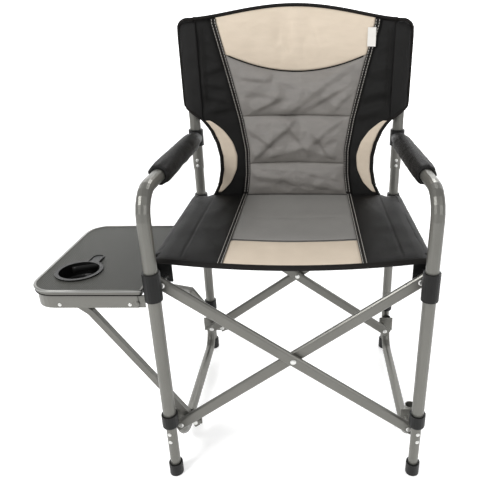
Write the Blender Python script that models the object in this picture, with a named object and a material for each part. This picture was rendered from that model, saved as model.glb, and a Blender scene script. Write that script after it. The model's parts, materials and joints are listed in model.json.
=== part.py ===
"""Folding camp chair with a fold-down side table, standing open on its four feet.

Z = 0 is the ground, the sitter faces -Y, and the table is on the -X side.
Lengths are in metres. Each side is two frames: a lower one (ground rail, inner legs)
and an upper one (arm tube, back upright, seat rail) that telescopes over it.
"""
import math
import bmesh
import bpy
from mathutils import Matrix, Vector

# Driving dimensions
HALF_WIDTH = 0.255            # leg axis from the middle of the chair
DEPTH = 0.471                 # front leg axis to rear leg axis
ARM_HEIGHT = 0.632            # axis of the arm tube
ARM_BEND = 0.050              # bend radius between front leg and arm
UPRIGHT_TOP = 0.880
WALL = 0.0012                 # wall of every tube
LEG_RADIUS = 0.0127           # 1 inch front tube
REAR_RADIUS = 0.0121          # rear leg, pushed up inside the back upright
UPRIGHT_RADIUS = 0.0136
INNER_RADIUS = 0.0105         # inner legs that slide in the upper ones
RAIL_RADIUS = 0.0115
GAP = 0.0004                  # air between touching pieces
FOOT_HEIGHT = 0.030
BUSHING = (0.130, 0.160)      # bottom and top of the sliding bushings
SEAT_COLLAR = (0.4265, 0.483)
COLLAR_RADIUS = 0.0165
SEAT_RAIL_HEIGHT = 0.4728     # just above the brace ends
RAIL_HEIGHT = 0.0315          # axis of the ground rail's straight run

# The scissor braces: pivots, section and the layers they lie in
PIVOT_X = 0.2445
PIVOT_LOW, PIVOT_HIGH = 0.100, 0.446
BRACE_HEIGHT, BRACE_DEPTH = 0.025, 0.011
BRACE_END = 0.012             # tube beyond its pivot
LAYER = 0.012                 # one brace layer and its clearance
FRONT_PLATE = 0.058           # front face of the front pivot plates
REAR_PLATE = 0.4352           # front face of the rear pivot plates
PLATE = 0.0015
PIN_RADIUS, HOLE_RADIUS = 0.003, 0.0033

# The side table
TABLE_INNER, TABLE_OUTER = -0.2755, -0.486
TABLE_FRONT, TABLE_REAR = -0.006, 0.318
TABLE_TOP = 0.449
TABLE_CORNER = 0.045
TABLE_HINGE = (-0.288, 0.420)
STRUT_TOP = (-0.446, 0.411)
STRUT_KINK = (-0.400, 0.3725)
STRUT_END = (-0.2117, 0.0862)
STRUT_PIVOT = (-0.2174, 0.095)
STRUT_SIZE = 0.0125
CUP = (-0.420, 0.074, 0.040)  # centre x, y and radius of the holder's hole


def clear_scene():
    for item in list(bpy.data.objects):
        bpy.data.objects.remove(item, do_unlink=True)


def material(name, colour, roughness, metallic=0.0):
    made = bpy.data.materials.new(name)
    made.use_nodes = True
    shader = made.node_tree.nodes["Principled BSDF"]
    shader.inputs["Base Color"].default_value = (*colour, 1.0)
    shader.inputs["Roughness"].default_value = roughness
    shader.inputs["Metallic"].default_value = metallic
    return made


clear_scene()
chair = bpy.data.objects.new("chair", None)
bpy.context.collection.objects.link(chair)

FINISHES = {
    "steel": ((0.27, 0.27, 0.25), 0.38, 0.85),
    "plastic": ((0.02, 0.02, 0.02), 0.55, 0.0),
    "rivet": ((0.60, 0.60, 0.60), 0.30, 1.0),
    "fabric": ((0.17, 0.16, 0.15), 0.90, 0.0),
    "padding": ((0.02, 0.02, 0.02), 0.85, 0.0),
    "tabletop": ((0.09, 0.09, 0.085), 0.60, 0.0),
    "trim": ((0.36, 0.36, 0.35), 0.40, 0.6),
}


def add(name, mesh_maker, finish, smooth=True):
    """Makes the object called name from a bmesh and hangs it on the chair."""
    mesh = bpy.data.meshes.new(name)
    shape = mesh_maker() if callable(mesh_maker) else mesh_maker
    bmesh.ops.recalc_face_normals(shape, faces=shape.faces)
    for face in shape.faces:
        face.smooth = smooth
    shape.to_mesh(mesh)
    shape.free()
    piece = bpy.data.objects.new(name, mesh)
    piece.data.materials.append(material(name, *FINISHES[finish]))
    bpy.context.collection.objects.link(piece)
    piece.parent = chair
    return piece


def circle(radius, sides=16):
    steps = [2 * math.pi * i / sides for i in range(sides)]
    return [(radius * math.cos(a), radius * math.sin(a)) for a in steps]


def oval(height, depth, sides=6):
    """Flat-oval section: height along its first axis, depth along its second."""
    radius = depth / 2
    reach = height / 2 - radius
    points = []
    for end in (1, -1):
        for i in range(sides + 1):
            angle = -math.pi / 2 + math.pi * i / sides
            points.append((end * (reach + radius * math.cos(angle)), end * radius * math.sin(angle)))
    return points


def arc(centre, radius, start, stop, steps=6):
    """Points of an arc in a plane, angles in degrees."""
    angles = [math.radians(start + (stop - start) * i / steps) for i in range(steps + 1)]
    return [(centre[0] + radius * math.cos(a), centre[1] + radius * math.sin(a)) for a in angles]


def sweep(path, outer, inner=None, side=(1, 0, 0)):
    """Sweeps a section along a path, its second axis kept close to side; inner makes it a tube."""
    shape = bmesh.new()
    path = [Vector(p) for p in path]
    side = Vector(side)
    loops = []
    for i, point in enumerate(path):
        before = (point - path[i - 1]).normalized() if i else None
        after = (path[i + 1] - point).normalized() if i < len(path) - 1 else None
        before, after = before or after, after or before
        along = (before + after).normalized()
        across = side.cross(along).normalized()
        level = along.cross(across)
        stretch = 1 / max(0.5, along.dot(after))
        rings = []
        for section in (outer, inner):
            if section:
                rings.append([shape.verts.new(point + across * u * stretch + level * v) for u, v in section])
        loops.append(rings)
    count = len(outer)
    for before, after in zip(loops, loops[1:]):
        for ring_a, ring_b in zip(before, after):
            for k in range(count):
                n = (k + 1) % count
                shape.faces.new((ring_a[k], ring_a[n], ring_b[n], ring_b[k]))
    for rings in (loops[0], loops[-1]):
        if inner:
            for k in range(count):
                n = (k + 1) % count
                shape.faces.new((rings[0][k], rings[0][n], rings[1][n], rings[1][k]))
        else:
            shape.faces.new(rings[0])
    return shape


def tube(path, radius, wall=WALL, side=(1, 0, 0)):
    return sweep(path, circle(radius), circle(radius - wall), side)


def turned(profile, centre, axis="Z", sides=20):
    """Turns a closed (radius, height) profile about an axis through centre."""
    shape = bmesh.new()
    solid = profile[0][0] == 0
    rings = []
    for radius, height in profile:
        if radius == 0:
            rings.append([shape.verts.new((0, 0, height))])
        else:
            rings.append([shape.verts.new((x, y, height)) for x, y in circle(radius, sides)])
    pairs = list(zip(rings, rings[1:])) if solid else list(zip(rings, rings[1:] + rings[:1]))
    for low, high in pairs:
        for k in range(sides):
            n = (k + 1) % sides
            corners = [low[k % len(low)], low[n % len(low)], high[n % len(high)], high[k % len(high)]]
            corners = list(dict.fromkeys(corners))
            if len(corners) > 2:
                shape.faces.new(corners)
    if axis == "Y":
        bmesh.ops.rotate(shape, verts=shape.verts, matrix=Matrix.Rotation(math.radians(-90), 3, "X"))
    bmesh.ops.translate(shape, verts=shape.verts, vec=centre)
    return shape


def ring(inner, outer, low, high, centre=(0, 0, 0), axis="Z", sides=20):
    return turned([(inner, low), (outer, low), (outer, high), (inner, high)], centre, axis, sides)


def rod(radius, low, high, centre=(0, 0, 0), axis="Z", sides=20):
    return turned([(0, low), (radius, low), (radius, high), (0, high)], centre, axis, sides)


def block(low, high):
    """A box between two opposite corners."""
    shape = bmesh.new()
    size = Vector(high) - Vector(low)
    middle = (Vector(high) + Vector(low)) / 2
    bmesh.ops.create_cube(shape, size=1.0)
    bmesh.ops.scale(shape, verts=shape.verts, vec=[abs(s) for s in size])
    bmesh.ops.translate(shape, verts=shape.verts, vec=middle)
    return shape


def shaped(piece, operation, shape, label):
    """Joins shape to a piece or cuts it away, with an exact Boolean."""
    mesh = bpy.data.meshes.new(label)
    bmesh.ops.recalc_face_normals(shape, faces=shape.faces)
    shape.to_mesh(mesh)
    shape.free()
    cutter = bpy.data.objects.new(label, mesh)
    bpy.context.collection.objects.link(cutter)
    cutter.parent = chair
    cutter.hide_render = True
    cutter.display_type = "WIRE"
    change = piece.modifiers.new(label, "BOOLEAN")
    change.operation = operation
    change.solver = "EXACT"
    change.object = cutter
    return piece


def side_frames(side, name):
    """Everything that stands in one side of the chair; side is -1 or 1."""
    x = side * HALF_WIDTH
    edge = side * 0.2632          # blocks outboard of the brace ends begin here
    outer = side * 0.2706

    # Front leg bent back into the arm
    bend = arc((ARM_BEND, ARM_HEIGHT - ARM_BEND), ARM_BEND, 180, 90)
    path = [(0, BUSHING[0] + 0.0195)] + bend + [(DEPTH - 0.019, ARM_HEIGHT)]
    add(name + "_front_leg_arm_tube", tube([(x, y, z) for y, z in path], LEG_RADIUS), "steel")

    # Rear leg and the back upright that it is riveted into
    rear_path = [(x, DEPTH, BUSHING[0] + 0.0195), (x, DEPTH, 0.600)]
    add(name + "_rear_leg", tube(rear_path, REAR_RADIUS), "steel")
    upright_path = [(x, DEPTH, 0.552), (x, DEPTH, UPRIGHT_TOP)]
    add(name + "_back_upright", tube(upright_path, UPRIGHT_RADIUS), "steel")

    for place, y, radius in (("front", 0.0, LEG_RADIUS), ("rear", DEPTH, REAR_RADIUS)):
        leg_path = [(x, y, 0.0065), (x, y, 0.420)]
        add(f"{name}_{place}_inner_leg", tube(leg_path, INNER_RADIUS), "steel")
        inside, outside = INNER_RADIUS + GAP, 0.0145
        foot = [(0, 0), (outside - 0.002, 0), (outside, 0.002), (outside, FOOT_HEIGHT),
                (inside, FOOT_HEIGHT), (inside, 0.006), (0, 0.006)]
        add(f"{name}_{place}_foot_cap", turned(foot, (x, y, 0)), "plastic")
        low, high = BUSHING
        bushing = [(inside, low), (COLLAR_RADIUS - 0.001, low), (COLLAR_RADIUS, low + 0.002),
                   (COLLAR_RADIUS, high), (radius + GAP, high), (radius + GAP, low + 0.019), (inside, low + 0.019)]
        add(f"{name}_{place}_bushing", turned(bushing, (x, y, 0)), "plastic")

    # Ground rail, turned up behind the front leg and in front of the rear leg
    front_y, rear_y = FRONT_PLATE + PLATE + RAIL_RADIUS + GAP, REAR_PLATE + PLATE + RAIL_RADIUS + GAP
    tight, wide = 0.040, 0.048
    path = [(front_y, 0.122)]
    path += arc((front_y + tight, RAIL_HEIGHT + tight), tight, 180, 270)
    path += arc((rear_y - wide, RAIL_HEIGHT + wide), wide, 270, 360)
    path += [(rear_y, 0.116)]
    add(name + "_ground_rail", tube([(x, y, z) for y, z in path], RAIL_RADIUS), "steel")

    # Plates that carry the lower pivots; the table side's reach in for the strut bolts
    inner_reach = side * (0.205 if side < 0 else 0.233)
    for place, face in (("front", FRONT_PLATE), ("rear", REAR_PLATE)):
        plate = add(f"{name}_{place}_pivot_plate",
                    block((outer, face, 0.080), (inner_reach, face + PLATE, 0.121)), "steel", False)
        shaped(plate, "DIFFERENCE",
               rod(HOLE_RADIUS, face - 0.01, face + 0.01, (side * PIVOT_X, 0, PIVOT_LOW), "Y"),
               f"{name}_{place}_plate_hole")
        if side < 0:
            shaped(plate, "DIFFERENCE",
                   rod(HOLE_RADIUS, face - 0.01, face + 0.01, (STRUT_PIVOT[0], 0, STRUT_PIVOT[1]), "Y"),
                   f"{place}_strut_hole")
        if place == "front":
            shaped(plate, "UNION", block((edge, 0.0110, 0.084), (outer - side * 0.002, face + 0.001, 0.118)),
                   name + "_leg_block")

    # Collars under the seat: sleeve, outboard arm and a cheek for the upper brace pivot
    low, high = SEAT_COLLAR
    for place, y, radius, face in (("front", 0.0, LEG_RADIUS, FRONT_PLATE),
                                   ("rear", DEPTH, REAR_RADIUS, REAR_PLATE)):
        collar = add(f"{name}_{place}_seat_collar", rod(COLLAR_RADIUS, low, high, (x, y, 0)), "plastic")
        near, far = (0.0013, face + 0.002) if place == "front" else (face + 0.001, y - 0.0013)
        shaped(collar, "UNION", block((edge, near, 0.432), (outer, far, 0.4800)), f"{name}_{place}_arm")
        shaped(collar, "UNION", block((side * 0.2696, face, 0.434), (side * 0.233, face + 0.003, 0.4815)),
               f"{name}_{place}_cheek")
        shaped(collar, "DIFFERENCE",
               rod(HOLE_RADIUS, face - 0.0043, face + 0.0077, (side * PIVOT_X, 0, PIVOT_HIGH), "Y", 12),
               f"{name}_{place}_collar_hole")
        shaped(collar, "DIFFERENCE", rod(radius + GAP, low - 0.01, high + 0.01, (x, y, 0)),
               f"{name}_{place}_bore")
    seat_path = [(x, FRONT_PLATE + 0.003 + GAP, SEAT_RAIL_HEIGHT), (x, REAR_PLATE - GAP, SEAT_RAIL_HEIGHT)]
    add(name + "_seat_rail", tube(seat_path, 0.0090), "steel")

    # Collar that holds the arm tube to the upright
    arm = add(name + "_arm_collar", rod(0.0180, ARM_HEIGHT - 0.020, ARM_HEIGHT + 0.020, (x, DEPTH, 0)), "plastic")
    shaped(arm, "UNION", rod(0.0165, DEPTH - 0.045, DEPTH, (x, 0, ARM_HEIGHT), "Y"), name + "_arm_socket")
    shaped(arm, "DIFFERENCE", rod(UPRIGHT_RADIUS + GAP, 0.60, 0.66, (x, DEPTH, 0)), name + "_upright_bore")
    shaped(arm, "DIFFERENCE",
           rod(LEG_RADIUS + GAP, DEPTH - 0.06, DEPTH - 0.0185, (x, 0, ARM_HEIGHT), "Y"), name + "_arm_bore")
    pad = [(LEG_RADIUS + GAP, 0.112), (0.0195, 0.112), (0.0220, 0.120), (0.0220, 0.415),
           (0.0195, 0.424), (LEG_RADIUS + GAP, 0.424)]
    add(name + "_arm_pad", turned(pad, (x, 0, ARM_HEIGHT), "Y"), "padding")


def pin_shape(x, z, front, back):
    """A rivet along Y that holds what lies between front and back."""
    head = 0.0060
    profile = [(0, front - 0.0018), (head - 0.002, front - 0.0018), (head, front - 0.0006),
               (head, front - GAP / 2), (PIN_RADIUS, front - GAP / 2), (PIN_RADIUS, back + GAP / 2),
               (0.0045, back + GAP / 2), (0.0045, back + 0.0015), (0, back + 0.0015)]
    return turned(profile, (x, 0, z), "Y", 16)


def pin(name, x, z, front, back):
    return add(name, pin_shape(x, z, front, back), "rivet")


def scissor(place, plate):
    """One pair of braces; the falling one lies in front of the rising one."""
    falling_front = plate - 0.039
    rising_front = falling_front + LAYER
    centre_z = (PIVOT_LOW + PIVOT_HIGH) / 2
    for name, sense, front in (("rising", 1, rising_front), ("falling", -1, falling_front)):
        middle = front + BRACE_DEPTH / 2
        low_end = Vector((-sense * PIVOT_X, middle, PIVOT_LOW))
        high_end = Vector((sense * PIVOT_X, middle, PIVOT_HIGH))
        along = (high_end - low_end).normalized()
        path = [low_end - along * BRACE_END, high_end + along * BRACE_END]
        shape = sweep(path, oval(BRACE_HEIGHT, BRACE_DEPTH),
                      oval(BRACE_HEIGHT - 2 * WALL, BRACE_DEPTH - 2 * WALL), (0, 1, 0))
        brace = add(f"{place}_{name}_brace", shape, "steel")
        for spot, x, z in (("low", low_end.x, low_end.z), ("mid", 0, centre_z), ("high", high_end.x, high_end.z)):
            shaped(brace, "DIFFERENCE", rod(HOLE_RADIUS, front - 0.002, front + 0.013, (x, 0, z), "Y"),
                   f"{place}_{name}_{spot}_hole")
    pin(place + "_centre_rivet", 0, centre_z, falling_front, rising_front + BRACE_DEPTH)
    back_low, back_high = plate + PLATE, plate + 0.003
    pin(f"left_{place}_lower_pin", -PIVOT_X, PIVOT_LOW, rising_front, back_low)
    pin(f"right_{place}_lower_pin", PIVOT_X, PIVOT_LOW, falling_front, back_low)
    pin(f"left_{place}_upper_pin", -PIVOT_X, PIVOT_HIGH, falling_front, back_high)
    pin(f"right_{place}_upper_pin", PIVOT_X, PIVOT_HIGH, rising_front, back_high)


def table_outline(grow=0.0):
    """Corners of the table rounded on its outer side only; grow moves the edge out."""
    low_x, high_x = TABLE_OUTER - grow, TABLE_INNER + grow
    low_y, high_y = TABLE_FRONT - grow, TABLE_REAR + grow
    radius = TABLE_CORNER + grow
    small = 0.006 + grow
    points = []
    for cx, cy, r, start in ((low_x + radius, low_y + radius, radius, 180), (high_x - small, low_y + small, small, 270),
                             (high_x - small, high_y - small, small, 0), (low_x + radius, high_y - radius, radius, 90)):
        points += arc((cx, cy), r, start, start + 90, 7)
    return points


def slab(outline, low, high):
    """A flat-sided solid of the outline between two heights."""
    shape = bmesh.new()
    bottom = [shape.verts.new((x, y, low)) for x, y in outline]
    top = [shape.verts.new((x, y, high)) for x, y in outline]
    shape.faces.new(bottom)
    shape.faces.new(top)
    for k in range(len(outline)):
        n = (k + 1) % len(outline)
        shape.faces.new((bottom[k], bottom[n], top[n], top[k]))
    return shape


def hoop(outer, inner, low, high):
    """A band of constant height between two outlines of equal length."""
    shape = bmesh.new()
    rings = []
    for outline, z in ((outer, low), (outer, high), (inner, high), (inner, low)):
        rings.append([shape.verts.new((x, y, z)) for x, y in outline])
    for first, second in zip(rings, rings[1:] + rings[:1]):
        for k in range(len(outer)):
            n = (k + 1) % len(outer)
            shape.faces.new((first[k], first[n], second[n], second[k]))
    return shape


def side_table():
    top = add("table_top", slab(table_outline(-0.0034), TABLE_TOP - 0.009, TABLE_TOP - 0.0005), "tabletop", False)
    shaped(top, "DIFFERENCE", rod(CUP[2], 0.40, 0.46, (CUP[0], CUP[1], 0), sides=32), "cup_hole")
    trim = hoop(table_outline(), table_outline(-0.0030), TABLE_TOP - 0.011, TABLE_TOP)
    add("table_edge_trim", trim, "trim", False)
    band = hoop(table_outline(-0.0025), table_outline(-0.0040), 0.4115, TABLE_TOP - 0.0114)
    add("table_frame", band, "steel", False)
    outer, wall = CUP[2] - 0.0005, 0.0018
    floor, rim = 0.4200, CUP[2] + 0.0045
    cup = [(0, floor), (outer - 0.004, floor), (outer, floor + 0.004), (outer, TABLE_TOP), (rim, TABLE_TOP),
           (rim, TABLE_TOP + 0.0025), (outer - wall, TABLE_TOP + 0.0025),
           (outer - wall, floor + 0.005), (outer - 0.005, floor + wall), (0, floor + wall)]
    add("cup_holder", turned(cup, (CUP[0], CUP[1], 0), sides=32), "plastic")
    # The frame is open towards the chair and turns on a stub at each end
    frame = bpy.data.objects["table_frame"]
    shaped(frame, "DIFFERENCE", block((TABLE_INNER - 0.0085, -0.05, 0.40), (-0.26, 0.35, 0.46)), "open_side")
    hinge_x, hinge_z = TABLE_HINGE
    for place, near in (("front", TABLE_FRONT), ("rear", TABLE_REAR)):
        shaped(frame, "DIFFERENCE", rod(HOLE_RADIUS, near - 0.01, near + 0.01, (hinge_x, 0, hinge_z), "Y"),
               place + "_hinge_hole")


def table_brackets():
    """Steel ears on the table side: one off the front collar, one under the seat rail."""
    hinge_x, hinge_z = TABLE_HINGE
    thick, low, high = 0.0025, hinge_z - 0.009, hinge_z + 0.0165
    near = TABLE_FRONT + 0.0045
    ear = add("front_table_bracket", block((hinge_x - 0.008, near, low), (-0.2719, near + thick, high)), "steel", False)
    shaped(ear, "UNION", pin_shape(hinge_x, hinge_z, TABLE_FRONT + 0.0025, near + thick), "front_stub")
    far = TABLE_REAR - 0.0045
    ear = add("rear_table_bracket", block((hinge_x - 0.008, far - thick, low), (-0.250, far, high)), "steel", False)
    shaped(ear, "UNION", block((-0.2735, far - thick + 0.0002, high - 0.003), (-0.2504, far - 0.0002, 0.4634)), "riser")
    shaped(ear, "UNION", pin_shape(hinge_x, hinge_z, far - thick, TABLE_REAR - 0.0025), "rear_stub")


def strut(place, plate, top_y=None):
    """Square brace under the table, kinked near its top, bolted to the pivot plate."""
    middle = plate - 0.001 - STRUT_SIZE / 2
    half = STRUT_SIZE / 2
    section = [(half, half), (-half, half), (-half, -half), (half, -half)]
    inner = [(u * 0.8, v * 0.8) for u, v in section]
    path = [(STRUT_TOP[0], middle, STRUT_TOP[1]), (STRUT_KINK[0], middle, STRUT_KINK[1]),
            (STRUT_END[0], middle, STRUT_END[1])]
    if top_y:
        # The table is shorter than the chair is deep, so this strut steps forward to reach it
        kink, end = Vector(path[1]), Vector(path[2])
        leave, meet = kink.lerp(end, 0.22), kink.lerp(end, 0.55)
        path = [(STRUT_TOP[0], top_y, STRUT_TOP[1]), (kink.x, top_y, kink.z), (leave.x, top_y, leave.z), meet, end]
    brace = add(place + "_table_strut", sweep(path, section, inner, (0, 1, 0)), "steel", False)
    shaped(brace, "DIFFERENCE",
           rod(HOLE_RADIUS, middle - 0.01, middle + 0.01, (STRUT_PIVOT[0], 0, STRUT_PIVOT[1]), "Y"),
           place + "_strut_bolt_hole")
    pin(place + "_strut_bolt", STRUT_PIVOT[0], STRUT_PIVOT[1], middle - half, plate + PLATE)


def seat_fabric():
    """Padded seat: a slung slab whose edges turn down outside the seat rails."""
    over, under = SEAT_RAIL_HEIGHT + 0.0170, SEAT_RAIL_HEIGHT + 0.0115
    out, skin = HALF_WIDTH + 0.0125, 0.0018
    top = [(-out, over - 0.006), (-out + 0.008, over), (0, over - 0.004), (out - 0.008, over), (out, over - 0.006)]
    hem = SEAT_RAIL_HEIGHT - 0.004
    section = top + [(out, hem), (out - skin, hem), (out - skin, under), (0, under - 0.004), (skin - out, under),
                     (skin - out, hem), (-out, hem)]
    path = [(0, 0.0640, 0), (0, REAR_PLATE - 0.003, 0)]
    shape = bmesh.new()
    ends = [[shape.verts.new((x, y, z)) for x, z in section] for _, y, _ in path]
    for loop in ends:
        shape.faces.new(loop)
    for k in range(len(section)):
        n = (k + 1) % len(section)
        shape.faces.new((ends[0][k], ends[0][n], ends[1][n], ends[1][k]))
    return shape


def back_fabric():
    """Padded back: wings between the uprights and a tongue down to the seat."""
    columns, rows, thick = 24, 10, 0.012
    reach = HALF_WIDTH + 0.016
    shape = bmesh.new()
    grid = []
    for i in range(columns + 1):
        across = -1 + 2 * i / columns
        x = across * reach
        top = UPRIGHT_TOP + 0.004 + 0.050 * (1 - across ** 2) ** 1.5
        tongue = max(0.0, 1 - max(0.0, abs(x) - 0.150) / 0.045)
        bottom = 0.675 - 0.195 * (3 * tongue ** 2 - 2 * tongue ** 3)
        hollow = max(0.0, 1 - (x / (HALF_WIDTH - 0.022)) ** 2)
        front = DEPTH - UPRIGHT_RADIUS - 0.0015 - thick + 0.048 * hollow ** 1.3
        column = []
        for j in range(rows + 1):
            z = bottom + (top - bottom) * j / rows
            column.append([shape.verts.new((x, front + d, z)) for d in (0, thick)])
        grid.append(column)
    for i in range(columns):
        for j in range(rows):
            for d in (0, 1):
                shape.faces.new([grid[a][b][d] for a, b in ((i, j), (i + 1, j), (i + 1, j + 1), (i, j + 1))])
        for j in (0, rows):
            shape.faces.new([grid[a][j][d] for a, d in ((i, 0), (i + 1, 0), (i + 1, 1), (i, 1))])
    for i in (0, columns):
        for j in range(rows):
            shape.faces.new([grid[i][b][d] for b, d in ((j, 0), (j + 1, 0), (j + 1, 1), (j, 1))])
    return shape


def centre_on_footprint():
    """Slides the chair so that the middle of its bounding box is the origin."""
    bpy.context.view_layer.update()
    corners = [piece.matrix_world @ vertex.co for piece in chair.children
               if not piece.hide_render for vertex in piece.data.vertices]
    xs, ys = [c.x for c in corners], [c.y for c in corners]
    chair.location = (-(min(xs) + max(xs)) / 2, -(min(ys) + max(ys)) / 2, 0)
    print("chair placed at", [round(v, 6) for v in chair.location])


for direction, label in ((-1, "left"), (1, "right")):
    side_frames(direction, label)
scissor("front", FRONT_PLATE)
scissor("rear", REAR_PLATE)
side_table()
table_brackets()
strut("front", FRONT_PLATE)
strut("rear", REAR_PLATE, TABLE_REAR - 0.030)
add("seat_fabric", seat_fabric, "fabric", False)
add("back_fabric", back_fabric, "fabric", False)
centre_on_footprint()
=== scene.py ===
# %% [markdown]
# # A folding camp chair
# This notebook dresses a ready-made steel frame. The frame, its joints and its plain soft
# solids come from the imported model. The chair's width, depth and heights are measured from
# them, and the outlines of the sewn pieces are short lists of places from its middle line.

# %% Load the frame and measure it
import json
import math

import bmesh
import bpy
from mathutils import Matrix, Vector, noise


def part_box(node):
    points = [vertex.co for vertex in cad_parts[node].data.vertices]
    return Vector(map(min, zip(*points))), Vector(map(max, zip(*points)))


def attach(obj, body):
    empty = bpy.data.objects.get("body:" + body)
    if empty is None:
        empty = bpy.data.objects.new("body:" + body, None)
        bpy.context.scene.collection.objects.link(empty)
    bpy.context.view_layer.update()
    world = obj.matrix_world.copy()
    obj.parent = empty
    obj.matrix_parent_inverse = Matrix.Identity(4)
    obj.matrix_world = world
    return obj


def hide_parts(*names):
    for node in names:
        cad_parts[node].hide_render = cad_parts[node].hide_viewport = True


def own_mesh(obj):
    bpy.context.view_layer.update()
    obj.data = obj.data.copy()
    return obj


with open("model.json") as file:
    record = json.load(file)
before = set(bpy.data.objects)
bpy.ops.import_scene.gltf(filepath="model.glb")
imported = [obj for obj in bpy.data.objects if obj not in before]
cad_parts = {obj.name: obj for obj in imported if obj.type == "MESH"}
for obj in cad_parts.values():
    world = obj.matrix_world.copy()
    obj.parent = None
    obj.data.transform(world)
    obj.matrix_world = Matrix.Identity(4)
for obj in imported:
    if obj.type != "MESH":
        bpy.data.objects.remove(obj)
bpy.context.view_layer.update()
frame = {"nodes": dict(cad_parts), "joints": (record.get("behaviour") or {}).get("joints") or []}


def middle_of(node):
    low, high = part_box(node)
    return (low + high) / 2


left_post, right_post = middle_of("left_back_upright"), middle_of("right_back_upright")
left_leg = middle_of("left_front_inner_leg")
MID_X = (left_post.x + right_post.x) / 2
FRONT_Y, POST_Y = left_leg.y, left_post.y
HALF = right_post.x - MID_X
LEFT, RIGHT = "left_upper_frame", "right_upper_frame"
rail_low, rail_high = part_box("left_seat_rail")
RAIL_Z = (rail_low.z + rail_high.z) / 2
POST_RADIUS = (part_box("left_back_upright")[1].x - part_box("left_back_upright")[0].x) / 2
print("half width", round(HALF, 4), "depth", round(POST_Y - FRONT_Y, 4))

# %% [markdown]
# ## Writing shaders as sums
# A finish is a small recipe, so it should read like one. A wrapper round a socket lets
# `0.4 + 0.1 * grain` add its own Math nodes, and one method makes any other node.

# %% A socket that can be added and multiplied
class Wire:
    def __init__(self, finish, socket):
        self.finish, self.socket = finish, socket

    def join(self, operation, first, second):
        return self.finish.node("ShaderNodeMath", {"operation": operation}, {0: first, 1: second})

    def __add__(self, other):
        return self.join("ADD", self, other)

    def __sub__(self, other):
        return self.join("SUBTRACT", self, other)

    def __rsub__(self, other):
        return self.join("SUBTRACT", other, self)

    def __mul__(self, other):
        return self.join("MULTIPLY", self, other)

    __radd__, __rmul__ = __add__, __mul__

    def wave(self):
        return self.join("SINE", self, 0.0)


class Finish:
    def __init__(self, name):
        self.material = bpy.data.materials.new(name)
        self.material.use_nodes = True
        self.tree = self.material.node_tree
        self.shader = self.tree.nodes["Principled BSDF"]
        self.place = self.node("ShaderNodeTexCoord", output="Object")

    def node(self, kind, settings=None, sockets=None, output=0):
        made = self.tree.nodes.new(kind)
        for key, value in (settings or {}).items():
            setattr(made, key, value)
        for key, value in (sockets or {}).items():
            self.feed(made.inputs[key], value)
        return Wire(self, made.outputs[output])

    def feed(self, socket, value):
        if isinstance(value, Wire):
            self.tree.links.new(value.socket, socket)
        else:
            socket.default_value = value

    def part(self, axis):
        return self.node("ShaderNodeSeparateXYZ", sockets={0: self.place}, output=axis)

    def grain(self, scale, detail=3.0, stretch=None):
        place = self.place
        if stretch:
            place = self.node("ShaderNodeVectorMath", {"operation": "MULTIPLY"},
                              {0: self.place, 1: stretch})
        return self.node("ShaderNodeTexNoise", sockets={"Vector": place, "Scale": scale, "Detail": detail})

    def blend(self, dark, light, share):
        return self.node("ShaderNodeMix", {"data_type": "RGBA"},
                         {0: share, 6: (*dark, 1.0), 7: (*light, 1.0)}, output=2)

    def dents(self, height, distance, strength=1.0):
        return self.node("ShaderNodeBump",
                         sockets={"Height": height, "Distance": distance, "Strength": strength})

    def shade(self, **sockets):
        for key, value in sockets.items():
            self.feed(self.shader.inputs[key.replace("_", " ")], value)
        return self.material


print("shader helpers ready")

# %% [markdown]
# ## Powder-coated steel
# The tubes carry a satin grey powder coat with a faint metallic fleck. The coat dries with
# a fine orange peel, so the bump is a soft noise a millimetre across, and handling leaves
# slightly glossier patches.

# %% Tube coat, rivets and the rim's painted highlight
def coat(name, dark, light, metallic):
    finish = Finish(name)
    cloud, peel = finish.grain(9.0), finish.grain(900.0, 1.0)
    fleck = finish.grain(2600.0, 0.0)
    return finish.shade(Base_Color=finish.blend(dark, light, 0.6 * cloud + 0.4 * fleck), Metallic=metallic,
                        Roughness=0.28 + 0.16 * cloud, Normal=finish.dents(peel, 0.0004, 0.35))


tube_coat = coat("satin_grey_powder_coat", (0.122, 0.120, 0.108), (0.205, 0.202, 0.184), 0.55)
# A lighter copy of the grey coat, used only on the table's rim bead: a painted highlight on its top edge.
rim_highlight_coat = coat("satin_rim_painted_highlight", (0.25, 0.25, 0.235), (0.36, 0.36, 0.345), 0.6)
rivet_metal = coat("bright_rivet", (0.62, 0.62, 0.60), (0.80, 0.80, 0.78), 1.0)


def moulded(name, dark, light, rough, gloss=0.25):
    finish = Finish(name)
    cloud, pebble = finish.grain(14.0), finish.grain(1400.0, 1.0)
    return finish.shade(Base_Color=finish.blend(dark, light, cloud), Roughness=rough + 0.12 * cloud,
                        Specular_IOR_Level=gloss,
                        Normal=finish.dents(pebble, 0.0003, 0.5))


black_plastic = moulded("black_moulded_plastic", (0.005, 0.005, 0.005), (0.012, 0.012, 0.0115), 0.40)
cup_plastic = moulded("glossy_cup_plastic", (0.004, 0.004, 0.004), (0.010, 0.010, 0.010), 0.22)
print("metal and plastic done")

# %% [markdown]
# ## Woven cloth
# The cloth is coated polyester. Two sets of fine ribs cross each other, about a millimetre
# apart, and a slow noise gives the faint streaks of a dyed roll. A picture of cloth would
# need unwrapping. Sine waves don't, and they stay sharp close up.

# %% Cloth
def cloth(name, dark, light, rough, rib=0.0011, crease=0.0, gloss=0.5):
    finish = Finish(name)
    turns = 2 * math.pi / rib
    ribs = (finish.part(0) * turns).wave() * (finish.part(2) * turns + finish.part(1) * turns).wave()
    streak = finish.grain(26.0, 4.0, (1.0, 1.0, 3.0))
    folds = finish.grain(16.0, 2.0, (1.0, 0.6, 1.7))
    height = 0.06 * ribs + 0.25 * streak + crease * folds
    return finish.shade(Base_Color=finish.blend(dark, light, 0.7 * streak + 0.15 * ribs + 0.1),
                        Roughness=rough + 0.1 * streak, Specular_IOR_Level=gloss,
                        Normal=finish.dents(height, 0.0035, 0.55))


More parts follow.
